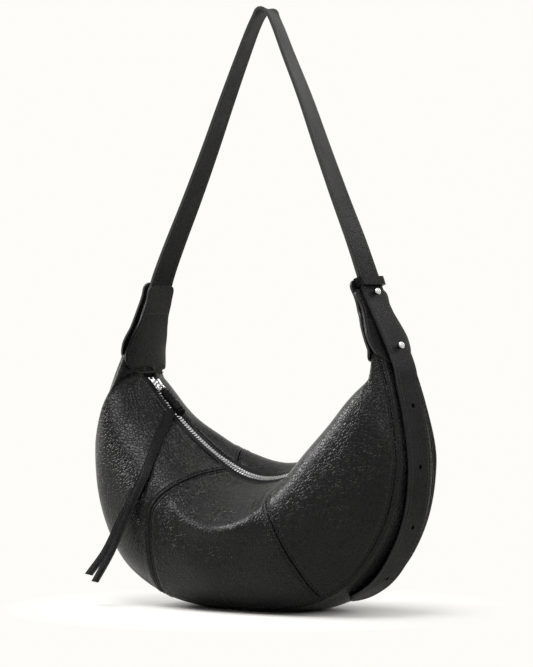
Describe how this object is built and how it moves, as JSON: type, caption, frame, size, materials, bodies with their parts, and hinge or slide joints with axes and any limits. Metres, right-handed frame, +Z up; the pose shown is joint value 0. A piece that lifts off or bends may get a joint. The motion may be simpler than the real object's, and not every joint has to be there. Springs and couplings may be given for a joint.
{
  "type": "half moon bag",
  "caption": "Crescent shoulder bag in soft black pebbled leather with a curved zip, a tassel pull and an adjustable strap buttoned on studs.",
  "frame": {"origin": "on the floor, at the middle of the flat base under the gusset", "axes": "+Z up, +X along the bag towards the buttoned end of the strap, -Y towards the front"},
  "size_m": [0.3476, 0.1483, 0.5452],
  "materials": {
    "body_leather": "soft pebbled grain with a low sheen",
    "strap_leather": "fine grain, satin",
    "lining_cloth": "matt woven cloth",
    "zip_tape": "matt woven tape",
    "zip_metal": "bright satin metal",
    "bright_metal": "polished silver-coloured metal"
  },
  "bodies": {
    "bag": {"front_left_panel": "body_leather", "front_centre_panel": "body_leather", "front_right_panel": "body_leather", "back_left_panel": "body_leather", "back_centre_panel": "body_leather", "back_right_panel": "body_leather", "gusset": "body_leather", "lining": "lining_cloth", "zip_tape_front": "zip_tape", "zip_tape_back": "zip_tape", "zip_teeth_front": "zip_metal", "zip_teeth_back": "zip_metal", "zip_stops": "zip_metal", "left_tab_inner": "strap_leather", "left_tab_outer": "strap_leather", "right_tab_inner": "strap_leather", "right_tab_outer": "strap_leather", "strap_bend_left": "strap_leather", "strap_bend_right": "strap_leather", "strap_end": "strap_leather", "strap_tail": "strap_leather", "studs": "bright_metal", "stud_screws": "bright_metal"},
    "slider": {"slider_body": "bright_metal", "slider_bail": "bright_metal"},
    "pull": {"pull_ring": "bright_metal", "pull_grip": "strap_leather"},
    "tassel": {"tassel_band": "strap_leather", "tassel_strip_front": "strap_leather", "tassel_strip_rear": "strap_leather"},
    "strap": {"shoulder_strap": "strap_leather"},
    "keeper": {"keeper_loop": "strap_leather"}
  },
  "joints": [
    {"name": "zip_slide", "type": "hinge", "parent": "bag", "child": "slider", "pos_m": [0.10896, 0.007, 0.40984], "axis": [0, -1, 0], "range_deg": [0, 15], "deforming": ["zip_teeth_front", "zip_teeth_back", "zip_tape_front", "zip_tape_back", "tassel_strip_front", "tassel_strip_rear"]},
    {"name": "pull_swing", "type": "hinge", "parent": "slider", "child": "pull", "pos_m": [-0.12842, 0.007, 0.20186], "axis": [0, -1, 0], "range_deg": [0, 105], "deforming": ["tassel_strip_front", "tassel_strip_rear"]},
    {"name": "tassel_swing", "type": "hinge", "parent": "pull", "child": "tassel", "pos_m": [-0.1028, 0.00407, 0.17979], "axis": [-0.7548, 0.0863, 0.6503], "range_deg": [0, 60]},
    {"name": "strap_swing", "type": "hinge", "parent": "bag", "child": "strap", "pos_m": [0, 0, 0.298], "axis": [1, 0, 0], "range_deg": [-25, 25], "deforming": ["strap_bend_left", "strap_bend_right"]},
    {"name": "keeper_slide", "type": "slide", "parent": "bag", "child": "keeper", "axis": [-0.2876, 0, 0.9577], "range_m": [0, 0.008]}
  ]
}
